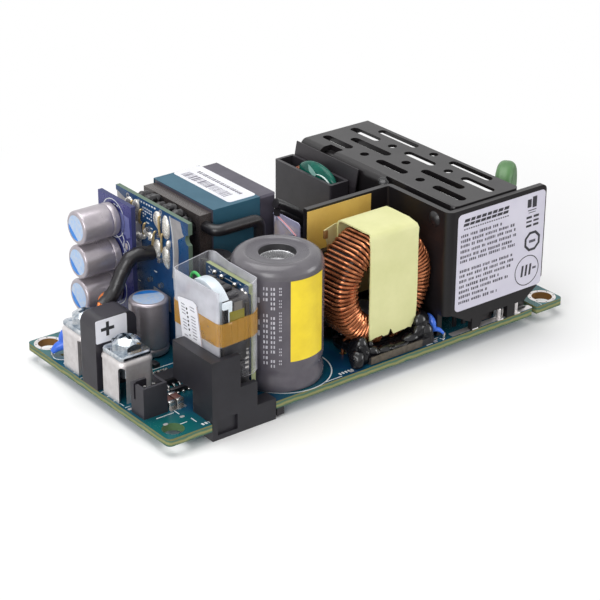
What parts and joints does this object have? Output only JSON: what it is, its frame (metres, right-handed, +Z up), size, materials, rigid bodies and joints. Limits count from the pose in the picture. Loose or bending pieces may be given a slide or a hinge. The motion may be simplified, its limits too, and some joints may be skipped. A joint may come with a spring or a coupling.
{
  "type": "open frame power supply",
  "caption": "Open frame AC-DC power supply on a rectangular circuit board, with folded black heatsinks, a wound ring choke, a tall capacitor and screw terminals.",
  "frame": {"origin": "centre of the four mounting holes, on the underside of the main board", "axes": "+X along the board from the output terminals to the mains end, +Y across the board away from the rating plate, +Z up through the board to the tall components"},
  "size_m": [0.1016, 0.0509, 0.0328],
  "materials": {
    "black_plastic": "satin",
    "black_sheet": "satin",
    "board": "satin",
    "can": "satin",
    "clear": "gloss",
    "copper": "gloss",
    "dipped_blue": "gloss",
    "dipped_green": "satin",
    "ferrite": "matte",
    "film_box": "satin",
    "green_coat": "gloss",
    "kapton": "gloss",
    "sleeve": "satin",
    "steel": "gloss",
    "tape_teal": "satin",
    "tape_yellow": "satin",
    "tinned": "satin",
    "white_plastic": "matte"
  },
  "bodies": {
    "root": {"aux_board": "board", "aux_bobbin": "black_plastic", "aux_carrier": "black_plastic", "aux_controller": "black_plastic", "aux_core": "ferrite", "aux_film": "clear", "aux_tape_band": "kapton", "aux_winding": "tape_yellow", "boost_devices": "black_plastic", "bridge_rectifier": "black_plastic", "bulk_capacitor_can": "can", "bulk_capacitor_sleeve": "sleeve", "capacitor_board": "board", "chip_capacitors": "film_box", "choke_base": "black_plastic", "choke_core": "green_coat", "choke_cup": "black_plastic", "choke_tape": "tape_yellow", "choke_winding": "copper", "clear_sheet": "clear", "disc_capacitors": "dipped_blue", "driver_chip": "black_plastic", "film_capacitor": "film_box", "filter_choke_core": "green_coat", "filter_choke_winding": "copper", "front_heatsink": "black_sheet", "fuse": "black_plastic", "header_pins": "tinned", "heatsink_rivet": "steel", "insulating_card": "black_plastic", "kapton_insulator": "kapton", "line_capacitor": "film_box", "lying_capacitors": "can", "main_board": "board", "mains_choke_core": "green_coat", "mains_choke_winding": "copper", "mains_connector": "white_plastic", "mains_pins": "tinned", "optocoupler": "black_plastic", "output_sleeve": "black_plastic", "output_wire": "copper", "primary_lead": "black_plastic", "rectifier_board": "board", "screw_terminals": "tinned", "signal_header": "black_plastic", "sleeved_inductor": "black_plastic", "slotted_heatsink": "black_sheet", "switch_transistors": "black_plastic", "terminal_divider": "black_plastic", "terminal_screws": "steel", "terminal_washers": "steel", "thermistor": "dipped_green", "thermistor_leads": "tinned", "transformer_bobbin": "black_plastic", "transformer_core": "ferrite", "transformer_pins": "tinned", "transformer_tape": "tape_teal", "transformer_winding": "black_plastic", "underside_diode": "white_plastic", "upright_capacitor": "can"}
  },
  "joints": []
}
